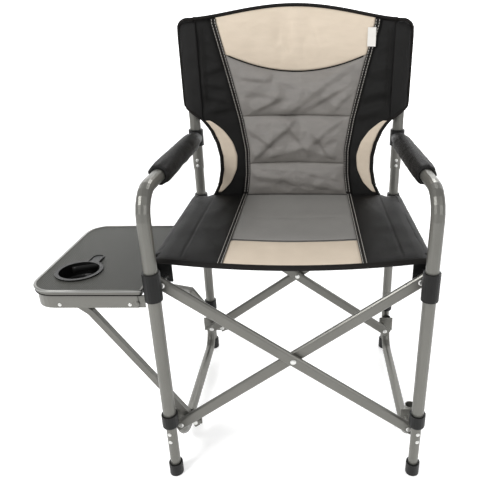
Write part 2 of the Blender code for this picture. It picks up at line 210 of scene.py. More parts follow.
black_cloth = cloth("black_polyester", (0.0030, 0.0030, 0.0028), (0.0095, 0.0090, 0.0085), 0.50,
                    crease=0.9, gloss=0.22)
grey_cloth = cloth("grey_satin_polyester", (0.165, 0.156, 0.146), (0.275, 0.257, 0.238), 0.34, crease=0.5)
sand_cloth = cloth("sand_polyester", (0.60, 0.505, 0.395), (0.76, 0.655, 0.53), 0.62, crease=0.25)
seat_grey = cloth("grey_seat_polyester", (0.21, 0.205, 0.195), (0.285, 0.277, 0.262), 0.5)
edge_tape = cloth("dark_edge_tape", (0.004, 0.0035, 0.003), (0.012, 0.010, 0.0085), 0.65, gloss=0.2)
thread = cloth("pale_thread", (0.42, 0.40, 0.37), (0.62, 0.59, 0.55), 0.6, rib=0.0006)
label_cloth = cloth("white_label", (0.70, 0.68, 0.64), (0.85, 0.83, 0.79), 0.6)
print("cloths done")

# %% [markdown]
# ## The table board
# The board is covered with a printed weave: short dark and light threads crossing at a
# right angle, two millimetres apart, under a matt film. The product of two waves makes the
# checks, where a checker texture would give hard squares.

# %% Woven board
def woven_board():
    finish = Finish("woven_grey_board")
    turns = 2 * math.pi / 0.0042
    over = (finish.part(0) * turns).wave()
    under = (finish.part(1) * turns).wave()
    check = over * under
    speck = finish.grain(240.0, 2.0)
    share = 0.5 + 0.28 * check + 0.5 * (speck - 0.5)
    return finish.shade(Base_Color=finish.blend((0.020, 0.021, 0.018), (0.085, 0.085, 0.075), share),
                        Specular_IOR_Level=0.25,
                        Roughness=0.42 + 0.15 * speck, Normal=finish.dents(check, 0.0006, 0.5))


board = woven_board()
print("board done")

# %% [markdown]
# ## Repaint the frame
# The steel and plastic shapes are already right, so they keep their meshes and only get
# the finishes above. Which finish goes where follows from each piece's name.

# %% Finishes for the frame's own pieces
def finish_for(node):
    if node == "cup_holder":
        return cup_plastic
    if node == "table_top":
        return board
    if any(word in node for word in ("cap", "bushing", "collar")):
        return black_plastic
    if any(word in node for word in ("pin", "rivet", "bolt")):
        return rivet_metal
    return tube_coat


for node, piece in frame["nodes"].items():
    paint = finish_for(node)
    for place in piece.material_slots:
        place.material = paint
print(len(frame["nodes"]), "pieces repainted")

# %% [markdown]
# ## Shapes that cloth is made from
# Most cloth parts are a closed shell: a front face and a back face over the same outline.
# `shell` takes a rule from two running numbers to a point and its outward direction, and
# a rule for the thickness, so a pillow and a flat strip are the same few lines.

# %% Mesh helpers
def solid(name, verts, faces, paint, body, smooth=True):
    mesh = bpy.data.meshes.new(name)
    mesh.from_pydata([tuple(v) for v in verts], [], faces)
    piece = bpy.data.objects.new(name, mesh)
    bpy.context.collection.objects.link(piece)
    work = bmesh.new()
    work.from_mesh(mesh)
    bmesh.ops.recalc_face_normals(work, faces=work.faces)
    for face in work.faces:
        face.smooth = smooth
    work.to_mesh(mesh)
    work.free()
    piece.data.materials.append(paint)
    if body:
        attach(piece, body)
    return piece


def shell(name, rule, thick, columns, rows, paint, body=None):
    """A closed shell over s in -1..1 and t in 0..1; rule gives a point and its outward direction."""
    verts, faces = [], []
    for face in (0, 1):
        for j in range(rows + 1):
            for i in range(columns + 1):
                s, t = -1 + 2 * i / columns, j / rows
                point, out = rule(s, t)
                verts.append(point + out * (thick(s, t) if face else 0.0))
    wide = columns + 1
    back = wide * (rows + 1)
    for j in range(rows):
        for i in range(columns):
            a, b = j * wide + i, (j + 1) * wide + i
            faces.append((a, a + 1, b + 1, b))
            faces.append((back + a, back + b, back + b + 1, back + a + 1))
    rim = [i for i in range(wide)] + [j * wide + columns for j in range(1, rows + 1)]
    rim += [rows * wide + i for i in range(columns - 1, -1, -1)] + [j * wide for j in range(rows - 1, 0, -1)]
    for here, there in zip(rim, rim[1:] + rim[:1]):
        faces.append((here, there, back + there, back + here))
    piece = solid(name, verts, faces, paint, body)
    piece.vertex_groups.new(name="rim").add(rim + [back + i for i in rim], 1.0, "REPLACE")
    return piece


def cord_mesh(path, radius, sides=8, flat=1.0, closed=False):
    """Vertices and faces of a round or flattened bead along points."""
    verts, faces, count = [], [], len(path)
    for i, point in enumerate(path):
        ahead = path[(i + 1) % count] if closed or i < count - 1 else point
        behind = path[i - 1] if closed or i else point
        along = (ahead - behind).normalized()
        guide = Vector((0, 0, 1)) if abs(along.z) < 0.9 else Vector((0, 1, 0))
        side = along.cross(guide).normalized()
        up = side.cross(along)
        for k in range(sides):
            turn = 2 * math.pi * k / sides
            verts.append(point + side * radius * math.cos(turn) + up * radius * flat * math.sin(turn))
    for i in range(count if closed else count - 1):
        for k in range(sides):
            a, b, n = i * sides, ((i + 1) % count) * sides, (k + 1) % sides
            faces.append((a + k, a + n, b + n, b + k))
    if not closed:
        faces += [tuple(range(sides)), tuple(range((count - 1) * sides, count * sides))]
    return verts, faces


def bead(name, path, radius, paint, body, flat=1.0, closed=False):
    verts, faces = cord_mesh(path, radius, flat=flat, closed=closed)
    return solid(name, verts, faces, paint, body)


def smooth_path(points, steps=8):
    """A Catmull-Rom curve through the points."""
    found = []
    for i in range(len(points) - 1):
        p = [points[max(i - 1, 0)], points[i], points[i + 1], points[min(i + 2, len(points) - 1)]]
        for k in range(steps):
            t = k / steps
            found.append(0.5 * (2 * p[1] + (p[2] - p[0]) * t + (2 * p[0] - 5 * p[1] + 4 * p[2] - p[3]) * t * t
                                + (3 * p[1] - p[0] - 3 * p[2] + p[3]) * t ** 3))
    return found + [points[-1]]


def between(pairs, value):
    """Straight-line reading of a list of (place, amount) pairs in rising places."""
    for (a, u), (b, v) in zip(pairs, pairs[1:]):
        if value <= b:
            return u + (v - u) * max(0.0, (value - a) / (b - a))
    return pairs[-1][1]


print("mesh helpers ready")

# %% [markdown]
# ## Cloth on the folding frame
# When the chair closes, its cloth crumples between the two sides. Each middle piece here rides on
# the left side. The share of width that is lost is worked out, but nothing squeezes the cloth by it.

# %% How middle pieces fold
joint = next(j for j in frame["joints"] if j["name"] == "fold")
lift = next(j for j in frame["joints"] if j["name"] == "right_upper_lift")
swing = next(j for j in frame["joints"] if j["name"] == "fold")["pos_m"]
far = next(j for j in frame["joints"] if j["name"] == "right_lower_swing")["pos_m"]
span = far[0] - swing[0]
rise = lift["pos_m"][2] - swing[2]
brace = math.hypot(span, rise)
closing = math.radians(max(joint["range_deg"]))
travel = span - brace * math.cos(math.atan2(rise, span) + closing)
ANCHOR_X = left_post.x + POST_RADIUS + 0.004
WIDTH = 2 * (MID_X - ANCHOR_X)
KEEP = (WIDTH - travel) / WIDTH


def folds(*pieces):
    for piece in pieces:
        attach(piece, LEFT)
        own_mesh(piece)


print("the sides close by", round(travel, 4), "and cloth keeps", round(KEEP, 3))

# %% [markdown]
# ## The back's curve
# The back hangs between two posts and bellies away from the sitter, deepest in the middle.
# One rule gives that curve for any place across and up, so every piece between the posts
# lies on it. The outline is a few points: a crowned top, straight wings, a scooped waist.

# %% Back surface and outline
TOP_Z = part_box("back_fabric")[1].z
POST_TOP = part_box("left_back_upright")[1].z
SEAT_Z = RAIL_Z + 0.016


def back_at(across, z):
    """Front face of the back's cloth, and the way out of it towards the sitter."""
    share = max(0.0, 1 - (across / (HALF - 0.016)) ** 2)
    lean = 0.010 * max(0.0, (0.72 - z) / 0.25)
    y = POST_Y - POST_RADIUS - 0.004 + 0.046 * share ** 1.2 - lean
    slope = -0.046 * 1.2 * 2 * across / (HALF - 0.016) ** 2 * share ** 0.2 if share else 0.0
    return Vector((MID_X + across, y, z)), Vector((slope, -1, 0)).normalized()


def crown_top(across):
    share = max(0.0, 1 - (across / (HALF - 0.019)) ** 2)
    return POST_TOP + 0.028 + (TOP_Z + 0.005 - POST_TOP - 0.028) * share ** 1.6


# Half widths against height, from the seat upwards
WAIST = [(0.470, 0.226), (0.490, 0.213), (0.515, 0.201), (0.550, 0.194), (0.585, 0.194), (0.620, 0.201),
         (0.650, 0.213), (0.672, 0.227), (0.682, 0.237)]
SEAM = [(0.470, 0.139), (0.535, 0.130), (0.598, 0.129), (0.675, 0.141), (0.795, 0.168), (0.900, 0.193)]


def seam_at(z):
    return between(SEAM, z)


SAG = 0.015

print("back runs up to", round(TOP_Z, 3))

# %% [markdown]
# ## Stuffed cloth
# A wadded panel swells between its seams and wrinkles where the wadding shifts. The panel is
# sewn as a slim pillow with its creases pressed in, then blown up by a cloth simulation with
# a little pressure. Its outline is held, and no point may move more than a few millimetres.

# %% Blow up a panel
def stuff(piece, pressure, cap):
    """Blow a sewn panel up with its outline held, and let no point move further than cap."""
    scene = bpy.context.scene
    change = piece.modifiers.new("cloth", "CLOTH")
    rules = change.settings
    rules.use_pressure, rules.uniform_pressure_force = True, pressure
    rules.vertex_group_mass = "rim"
    rules.effector_weights.gravity = 0.0
    change.point_cache.frame_end = 14
    for step in range(1, 15):
        scene.frame_set(step)
    blown = piece.evaluated_get(bpy.context.evaluated_depsgraph_get())
    ends = [vertex.co.copy() for vertex in blown.data.vertices]
    piece.modifiers.remove(change)
    scene.frame_set(1)
    moves = [end - vertex.co for vertex, end in zip(piece.data.vertices, ends)]
    for vertex, move in zip(piece.data.vertices, moves):
        vertex.co += move * min(1.0, cap / max(move.length, 1e-9))
    print(piece.name, "moved up to", round(max(move.length for move in moves) * 1000, 1), "mm")
    return piece


def crease(place, seed, size=0.055):
    """A wrinkle height from -1 to 1: sharp ridges between smooth hollows, running aslant."""
    turned = Vector((place.x * 0.8 + place.z * 0.55, place.y, place.z * 1.1 - place.x * 0.35)) / size
    ridge = 1 - 2.2 * abs(noise.noise(turned + Vector((seed, 0, 0))))
    return 0.65 * ridge + 0.35 * noise.noise(turned * 2.3 + Vector((0, seed, 0)))


def pressed(across, z, creases):
    """Height of the creases at a place: a steep side, a soft side, fading at both ends."""
    height = 0.0
    for (ax, az), (bx, bz), wide, deep in creases:
        run, rise = bx - ax, bz - az
        length = math.hypot(run, rise)
        along = ((across - ax) * run + (z - az) * rise) / length
        aside = ((z - az) * run - (across - ax) * rise) / length
        over = max(0.0, -along, along - length)
        width = 1.5 * wide if aside > 0 else 0.7 * wide
        height += deep * math.exp(-(aside / width) ** 2 - (over / (wide * 1.6)) ** 2)
    return height


def panel(name, half, low, high, surface, thick, paint, lift=0.0, folds_deep=0.0, seed=0.0,
          columns=60, rows=30, side=None, creases=(), mask=None):
    """A wadded panel between a low and a high edge and half widths that change with height."""
    def flat(s, t):
        across, z = 0.0, low(0.0) + (high(0.0) - low(0.0)) * t
        for _ in range(5):
            if side is None:
                across = s * half(z)
            else:
                inner, outer = side(z)
                across = inner + (outer - inner) * (s + 1) / 2
            z = low(across) + (high(across) - low(across)) * t
        return across, z

    def rule(s, t):
        point, out = surface(*flat(s, t))
        return point + out * lift, out

    def swell(s, t):
        across, z = flat(s, t)
        edge = (1 - abs(s) ** 6) * (1 - abs(2 * t - 1) ** 4)
        rough = folds_deep * crease(rule(s, t)[0], seed) + pressed(across, z, creases)
        if mask:
            rough *= mask(across, z)
        return max(0.0008, thick * (0.22 + 0.78 * edge ** 0.6) + edge ** 0.5 * rough)

    return shell(name, rule, swell, columns, rows, paint)


print("panel helpers ready")

# %% [markdown]
# ## The back's black body
# Behind the pale panels a single black layer runs between the two posts. Its sides follow
# the scooped waist below the arms and widen to the posts above it. One shell, not a piece
# per colour, leaves no gap behind the seams. Only its wings pucker, with listed creases
# over a little noise.

# %% Black layer
WING_LOW = 0.682
SPLIT = 0.236


def seat_drop(across):
    """Height of the seat's top where the back comes down to it."""
    return SEAT_Z - SAG * max(0.0, 1 - (across / (HALF - 0.015)) ** 2)


def body_half(z):
    return between(WAIST, z) if z < WING_LOW else SPLIT


def wing_share(across, z):
    return min(1.0, max(0.0, (abs(across) - seam_at(z) - 0.004) / 0.014))


# Each crease is its two ends, as across and height, then its width and its depth
WING_CREASES = [
    ((-0.205, 0.86), (-0.186, 0.850), 0.007, 0.005), ((-0.212, 0.83), (-0.182, 0.815), 0.008, 0.005),
    ((-0.215, 0.79), (-0.176, 0.803), 0.009, 0.005), ((-0.218, 0.765), (-0.170, 0.752), 0.008, 0.004),
    ((-0.215, 0.735), (-0.165, 0.722), 0.011, 0.005), ((-0.20, 0.70), (-0.16, 0.705), 0.009, 0.004),
    ((0.210, 0.85), (0.190, 0.838), 0.008, 0.004), ((0.215, 0.80), (0.178, 0.79), 0.009, 0.004),
    ((0.215, 0.752), (0.168, 0.735), 0.012, 0.006), ((0.205, 0.708), (0.16, 0.69), 0.010, 0.005)]


def back_layer():
    body = panel("back_black_layer", body_half, lambda x: seat_drop(x) - 0.006, crown_top, back_at, 0.0065,
                 black_cloth, lift=-0.005, folds_deep=0.003, seed=3.0, columns=110, rows=96,
                 creases=WING_CREASES, mask=wing_share)
    folds(body)
    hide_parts("back_fabric")


back_layer()
print("black layer done")

# %% [markdown]
# ## Head panel and quilted panels
# The sand head panel follows the crown and has a bowed lower seam. Below it the
# satin panel is sewn across twice, which makes three cushions of unequal height. Sculpting
# would give the same folds, but a list of creases can be read and changed. Each is a line
# with a steep side and a soft side.

# %% Pale panels of the back
SEAMS = [0.5620, 0.6830]
PUFF_CREASES = [
    [((-0.098, 0.532), (0.112, 0.497), 0.014, 0.007), ((-0.09, 0.551), (-0.01, 0.545), 0.010, 0.004),
     ((0.02, 0.542), (0.10, 0.525), 0.009, 0.004)],
    [((-0.108, 0.584), (-0.022, 0.661), 0.013, 0.008), ((-0.022, 0.663), (0.026, 0.600), 0.012, 0.007),
     ((0.049, 0.624), (0.108, 0.672), 0.012, 0.007), ((0.053, 0.63), (0.086, 0.587), 0.010, 0.006),
     ((-0.116, 0.646), (-0.078, 0.618), 0.010, 0.006), ((-0.06, 0.585), (0.0, 0.600), 0.010, 0.004)],
    [((-0.014, 0.697), (0.128, 0.806), 0.016, 0.010), ((0.02, 0.700), (0.095, 0.742), 0.011, 0.007),
     ((-0.128, 0.777), (-0.075, 0.772), 0.009, 0.006), ((-0.115, 0.745), (-0.05, 0.733), 0.014, 0.006),
     ((-0.105, 0.700), (-0.058, 0.722), 0.010, 0.007), ((-0.04, 0.765), (0.03, 0.752), 0.012, 0.005),
     ((0.10, 0.705), (0.128, 0.735), 0.010, 0.006)]]


def head_low(across):
    return 0.790 + 0.041 * (across / 0.172) ** 2


def inner_half(z):
    return seam_at(z) - 0.0055


def back_panels():
    head = panel("head_panel", inner_half, head_low, lambda x: crown_top(x) - 0.004, back_at, 0.0075,
                 sand_cloth, lift=0.0015, folds_deep=0.0010, seed=5.0, columns=70, rows=30,
                 creases=[((0.0, 0.918), (0.0, 0.895), 0.016, 0.004),
                          ((-0.13, 0.90), (-0.06, 0.908), 0.012, 0.003),
                          ((0.06, 0.912), (0.13, 0.900), 0.012, 0.003)])
    made = [stuff(head, 2.0, 0.004)]
    lows = [lambda x: seat_drop(x) + 0.0015, lambda x: SEAMS[0], lambda x: SEAMS[1]]
    tops = [lambda x: SEAMS[0], lambda x: SEAMS[1], lambda x: head_low(x) - 0.0008]
    for number, (low, high) in enumerate(zip(lows, tops)):
        cushion = panel(f"quilted_panel_{number + 1}", inner_half, low, high, back_at, 0.0095, grey_cloth,
                        lift=0.0015, folds_deep=0.0046, seed=11.0 + 7 * number, columns=90, rows=40,
                        creases=PUFF_CREASES[number])
        made.append(stuff(cushion, 2.5, 0.006))
    for piece in made:
        folds(piece)


back_panels()
print("pale panels done")

# %% [markdown]
# ## Crescents
# A sand crescent is let into each side of the waist, between the binding and the black band.
# It is thin, so it lies on the black layer as a slim panel that narrows to both ends.

# %% Waist crescents
def crescent(sign):
    def sides(z):
        share = max(0.0, 1 - ((z - 0.585) / 0.098) ** 2)
        outer = body_half(z) - 0.006
        return sign * (outer - 0.033 * share ** 0.7 - 0.001), sign * outer

    piece = panel(f"waist_crescent_{'left' if sign < 0 else 'right'}", None, lambda x: 0.492, lambda x: 0.676,
                  back_at, 0.0022, sand_cloth, lift=0.0012, seed=2.0, columns=10, rows=40, side=sides)
    folds(piece)


crescent(-1)
crescent(1)
print("crescents done")

# %% [markdown]
# ## Post sleeves
# Each wing ends in a sleeve that slides over the post, flat in front and round behind. It is
# sewn shut over the post's top, its lower edge is cut aslant, and it moves with its own side.
# A loop of points lifted in steps gives all that, where a plain tube would stand off the wing.

# %% Sleeves round the posts
# Section of a sleeve: outwards and backwards from the post's middle
SECTION = [
    (-0.0225, -0.0192), (-0.010, -0.0202), (0.002, -0.0200), (0.011, -0.0172), (0.0168, -0.0100),
    (0.0186, 0.0), (0.0150, 0.0105), (0.006, 0.0175), (-0.004, 0.0182), (-0.0125, 0.0135), (-0.0172, 0.004),
    (-0.0190, -0.006), (-0.0215, -0.0135)]


def wing_low(across):
    """Lower edge of a wing past the split, cut up towards its outer corner."""
    reach = abs(across) - SPLIT
    return WING_LOW - 0.001 + 0.95 * max(0.0, reach) ** 1.05


def wing_top(across):
    """Upper edge of a wing: level past the split, then rounded off."""
    reach = min(1.0, max(0.0, abs(across) - 0.246) / 0.0285)
    return POST_TOP + 0.028 - 0.026 * (1 - math.sqrt(1 - 0.97 * reach ** 2))


def post_sleeve(sign, body, name):
    loop = [Vector((a, b, 0)) for a, b in SECTION]
    ring = smooth_path([loop[-1]] + loop + loop[:2], 5)[5:-5]
    count = len(ring)
    centre = Vector((MID_X + sign * HALF, POST_Y, 0))
    levels = 60
    verts, faces = [], []
    for layer in (0, 1):
        for j in range(levels + 1):
            t = j / levels
            close = 1.0 if t < 0.88 else math.sqrt(max(0.0, 1 - ((t - 0.88) / 0.12) ** 2 * 0.97))
            for place in ring:
                across = HALF + place.x
                low, high = wing_low(across), wing_top(across)
                z = low + (high - low) * t
                ripple = 0.0014 * crease(Vector((place.x + place.y, place.y, z + sign)), 6.0, 0.05)
                grow = (1.0 - 0.0018 * layer / 0.019) * (1 + ripple / 0.019)
                deep = place.y * close * grow
                verts.append(centre + Vector((sign * place.x * grow, deep, z - 0.002 * layer * (t > 0.99))))
    wide = count
    for layer in (0, 1):
        base = layer * (levels + 1) * wide
        for j in range(levels):
            for k in range(wide):
                n = (k + 1) % wide
                faces.append((base + j * wide + k, base + j * wide + n, base + (j + 1) * wide + n,
                              base + (j + 1) * wide + k))
    other = (levels + 1) * wide
    faces += [(k, (k + 1) % wide, other + (k + 1) % wide, other + k) for k in range(wide)]
    top, inner_top = levels * wide, other + levels * wide
    faces += [tuple(top + k for k in range(wide)), tuple(inner_top + k for k in range(wide))]
    sleeve = solid(name + "_post_sleeve", verts, faces, black_cloth, body)
    reach = [SPLIT + (0.2725 - SPLIT) * i / 12 for i in range(13)]
    low_run = [(x, wing_low(x)) for x in reach]
    side_run = [(0.2738, z) for z in (0.724, 0.74, 0.76, 0.79, 0.82, 0.85, 0.872)]
    top_run = [(x, wing_top(x) - 0.001) for x in reversed(reach)]
    path = []
    for across, z in low_run + side_run + top_run:
        depth = -0.0196 + 0.0116 * max(0.0, (across - 0.257) / 0.0165) ** 1.5
        path.append(Vector((MID_X + sign * across, POST_Y + depth, z)))
    bead(name + "_wing_binding", path, 0.0036, edge_tape, body)


post_sleeve(-1, LEFT, "left")
post_sleeve(1, RIGHT, "right")
print("sleeves done")

# %% [markdown]
# ## Binding and seam bands
# A bound edge is a flattened bead. The two tapes that hold the panels are narrow black bands,
# each with two rows of pale lockstitch: short rounded dashes with a gap between them. The
# dashes are real beads, because stitches painted on would blur close up.

# %% Edges, bands and stitches
def on_back(points, lift=0.002):
    path = []
    for across, z in points:
        point, out = back_at(across, z)
        path.append(point + out * lift)
    return path


def strip(name, points, width, lift, thick, paint, surface):
    """A flat band along (across, along) points of a surface."""
    verts, faces = [], []
    for i, (across, run) in enumerate(points):
        before, after = points[max(i - 1, 0)], points[min(i + 1, len(points) - 1)]
        way = Vector((after[0] - before[0], after[1] - before[1])).normalized()
        for edge, height in ((-1, 0), (-1, thick), (1, thick), (1, 0)):
            point, out = surface(across - edge * way.y * width / 2, run + edge * way.x * width / 2)
            verts.append(point + out * (lift + height))
    for i in range(len(points) - 1):
        for k in range(4):
            n = (k + 1) % 4
            faces.append((i * 4 + k, i * 4 + n, i * 4 + 4 + n, i * 4 + 4 + k))
    faces += [(0, 1, 2, 3), tuple(len(verts) - 4 + k for k in range(4))]
    return solid(name, verts, faces, paint, None, smooth=False)


def stitches(name, points, surface, lift, pitch=0.0062, stitch=0.0044, radius=0.00065, paint=None):
    """Dashes along a path on a surface, each a small rounded bead."""
    verts, faces = [], []
    walk = [surface(a, r)[0] + surface(a, r)[1] * lift for a, r in points]
    lengths = [(b - a).length for a, b in zip(walk, walk[1:])]
    total, place = sum(lengths), 0.0

    def along(distance):
        for a, b, length in zip(walk, walk[1:], lengths):
            if distance <= length:
                return a.lerp(b, distance / length)
            distance -= length
        return walk[-1]

    while place + stitch < total:
        line = [along(place + stitch * k / 3) for k in range(4)]
        new_verts, new_faces = cord_mesh(line, radius, sides=6)
        base = len(verts)
        verts += new_verts
        faces += [tuple(base + k for k in face) for face in new_faces]
        place += pitch
    return solid(name, verts, faces, paint or thread, None)


def seam_points(sign, low, high, shift=0.0, count=40):
    heights = [low + (high - low) * i / count for i in range(count + 1)]
    return [(sign * (seam_at(z) + shift), z) for z in heights]


print("strip and stitch helpers ready")

# %% [markdown]
# ## Sewing the back
# The bands follow the seam line of the pale panels. The bindings follow the waist, the crown
# and the head seam, and the wings get two dark rows of stitching beside the sleeve.

# %% Bands, bindings and stitches on the back
def back_bands():
    top = crown_top(seam_at(0.90)) - 0.004
    for sign, name in ((-1, "left"), (1, "right")):
        band = strip(name + "_back_band", seam_points(sign, SEAT_Z - 0.004, top), 0.0120, 0.0035, 0.0022,
                     edge_tape, back_at)
        folds(band)
        for row, shift in (("inner", -0.0036), ("outer", 0.0036)):
            run = seam_points(sign, SEAT_Z, top - 0.002, shift)
            line = stitches(f"{name}_back_{row}_stitches", run, back_at, 0.0062)
            folds(line)


def edge_path():
    """Right side of the waist, from the seat up to the wing."""
    heights = [0.474 + (WING_LOW - 0.474) * i / 34 for i in range(35)]
    return [(body_half(z) - 0.001, z) for z in heights]


def back_edges():
    for sign, name in ((-1, "left"), (1, "right")):
        edge = on_back([(sign * a, z) for a, z in edge_path()], 0.0005)
        waist = bead(name + "_waist_binding", edge, 0.0042,
                     edge_tape, None, flat=0.8)
        folds(waist)
    top = [-SPLIT + 2 * SPLIT * i / 70 for i in range(71)]
    folds(bead("top_binding", on_back([(a, crown_top(a)) for a in top], 0.001), 0.0040, edge_tape, None))
    seam = [-0.163 + 0.326 * i / 50 for i in range(51)]
    folds(bead("head_seam_piping", on_back([(a, head_low(a) - 0.0004) for a in seam], 0.0048), 0.0014,
               edge_tape, None))
    for sign, name in ((-1, "left"), (1, "right")):
        for row, reach in (("inner", 0.217), ("outer", 0.223)):
            line = [(sign * reach, 0.715 + 0.172 * i / 40) for i in range(41)]
            folds(stitches(f"{name}_wing_{row}_stitches", line, back_at, 0.0040, paint=edge_tape))


back_bands()
back_edges()
print("bands, stitches and edges done")

# %% [markdown]
# ## The seat
# The seat sags a little between its rails. A sand band crosses the front, grey satin fills
# the middle, and black panels run back along both rails. The rails are wrapped by sleeves
# that belong to their own side of the frame.

# %% Seat surface and panels
SEAT_FRONT, BAND_BACK = FRONT_Y + 0.040, FRONT_Y + 0.161
SEAT_SEAM, SIDE_SEAM = 0.1375, 0.213
SEAT_EDGE = HALF + 0.003


def seat_at(across, run):
    """Top face of the seat's cloth, and the way up from it."""
    share = max(0.0, 1 - (across / (HALF - 0.015)) ** 2)
    slope = 2 * SAG * across / (HALF - 0.015) ** 2 if share else 0.0
    return Vector((MID_X + across, run, SEAT_Z - SAG * share)), Vector((-slope, 0, 1)).normalized()


def corner(across):
    """How far a place lies into the rear corners, cut away round the posts, from 0 to 1."""
    return min(1.0, max(0.0, (abs(across) - 0.220) / 0.011))


def seat_front(across):
    """The front edge is straight, whatever the place across."""
    return SEAT_FRONT


def seat_back(across):
    reach = min(abs(across), 0.226)
    meet = back_at(reach, SEAT_Z)[0].y + 0.001
    return meet + (POST_Y - 0.040 - meet) * corner(across)


print("seat runs from", round(SEAT_FRONT, 3), "and rises to", round(SEAT_Z, 3))

# %% [markdown]
# ## Cutting the seat
# Each colour is its own panel, flatter than the back's, because the seat is stretched tight.
# A long shallow groove stands for the seam across the grey and the ones beside the rails.

# %% Seat panels
def seat_panel(name, left, right, front, back, thick, paint, lift=0.0, folds_deep=0.0, seed=0.0,
               columns=60, rows=40, creases=()):
    def rule(s, t):
        across = left + (right - left) * (s + 1) / 2
        run = front(across) + (back(across) - front(across)) * t
        point, out = seat_at(across, run)
        return point + out * lift, out

    def swell(s, t):
        edge = (1 - abs(s) ** 10) * (1 - abs(2 * t - 1) ** 10)
        place = rule(s, t)[0]
        rough = folds_deep * crease(place, seed, 0.075) + pressed(place.x - MID_X, place.y - FRONT_Y, creases)
        return max(0.0008, thick * (0.3 + 0.7 * edge ** 0.6) + edge ** 0.5 * rough)

    return shell(name, rule, swell, columns, rows, paint)


def seat():
    base = seat_panel("seat_lower_layer", -0.222, 0.222, seat_front, seat_back, 0.0055, black_cloth,
                      lift=-0.007)
    band = seat_panel("seat_sand_band", -SEAT_SEAM, SEAT_SEAM, seat_front, lambda x: BAND_BACK, 0.005,
                      sand_cloth, lift=-0.002, folds_deep=0.0010, seed=1.0)
    grey = seat_panel("seat_grey_panel", -SEAT_SEAM, SEAT_SEAM, lambda x: BAND_BACK + 0.001, seat_back, 0.005,
                      seat_grey, lift=-0.002, folds_deep=0.0010, seed=4.0,
                      creases=[((-0.13, 0.299), (0.13, 0.299), 0.003, -0.0012)])
    sheets = [base, band, grey]
    for sign, name in ((-1, "left"), (1, "right")):
        left, right = sorted((sign * (SEAT_SEAM + 0.001), sign * SEAT_EDGE))
        groove = [((sign * SIDE_SEAM, 0.06), (sign * SIDE_SEAM, 0.44), 0.0025, -0.0014),
                  ((sign * 0.16, 0.10), (sign * 0.20, 0.20), 0.02, 0.0022),
                  ((sign * 0.19, 0.30), (sign * 0.165, 0.42), 0.02, 0.0022)]
        sheets.append(seat_panel(f"{name}_seat_panel", left, right, seat_front, seat_back, 0.005, black_cloth,
                                 lift=-0.002, folds_deep=0.0014, seed=8.0 + sign, creases=groove))
    for piece in sheets:
        folds(piece)
    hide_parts("seat_fabric")


seat()
print("seat panels done")

# %% [markdown]
# ## Sewing the seat
# The side seams get a black band and a double row of stitches, as on the back. A thick
# dark binding closes the front edge and turns down over the rails at both ends.

# %% Seat seams and binding
def seat_trim():
    for sign, side in ((-1, "left"), (1, "right")):
        x = sign * SEAT_SEAM
        start, end = seat_front(x), seat_back(x) - 0.003
        line = [(x, start + (end - start) * i / 40) for i in range(41)]
        folds(strip(f"{side}_seat_seam_band", line, 0.0105, 0.0028, 0.0010, edge_tape, seat_at))
        for row, shift in (("inner", -0.0034), ("outer", 0.0034)):
            row_line = [(x + sign * shift, run) for _, run in line]
            folds(stitches(f"{side}_seat_{row}_stitches", row_line, seat_at, 0.0040))
    cross = [(-SEAT_SEAM + 2 * SEAT_SEAM * i / 40, BAND_BACK + 0.0005) for i in range(41)]
    folds(strip("seat_cross_seam", cross, 0.0016, 0.0022, 0.0006, edge_tape, seat_at))
    reach = [-SEAT_EDGE + 2 * SEAT_EDGE * i / 90 for i in range(91)]
    rim = []
    for across in reach:
        point, out = seat_at(across, seat_front(across) - 0.001)
        rim.append(point - out * 0.0012)
    for end, sign in ((0, -1), (len(rim), 1)):
        rim.insert(end, rim[0 if sign < 0 else -1] + Vector((sign * 0.010, 0, -0.010)))
    folds(bead("seat_front_binding", rim, 0.0058, edge_tape, None))


seat_trim()
print("seat done")

# %% [markdown]
# ## Rail sleeves
# The seat's side edge goes over the rail and hangs a little way down outside it. It is part
# of a tube round the rail, left open below and inside, and rides on its own side.

# %% Sleeves over the seat rails
def rail_sleeve(sign, body, name):
    radius = 0.0122
    near, far = FRONT_Y + 0.066, FRONT_Y + 0.430

    def rule(s, t):
        turn = math.radians(96 - 122 * (s + 1) / 2)
        out = Vector((sign * math.cos(turn), 0, math.sin(turn)))
        ripple = 0.0008 * noise.noise(Vector((s, t * 26, sign)))
        return Vector((MID_X + sign * HALF, near + (far - near) * t, RAIL_Z)) + out * (radius + ripple), out

    sleeve = shell(name + "_rail_sleeve", rule, lambda s, t: 0.0056, 14, 60, black_cloth, body)


rail_sleeve(-1, LEFT, "left")
rail_sleeve(1, RIGHT, "right")
print("rail sleeves done")

# %% [markdown]
# ## Arm pads
# Each arm carries a soft tube of foam in black cloth, gathered in at both ends. Rings of
# points round the arm make it: the rings shrink at the ends, and small ripples pucker there.

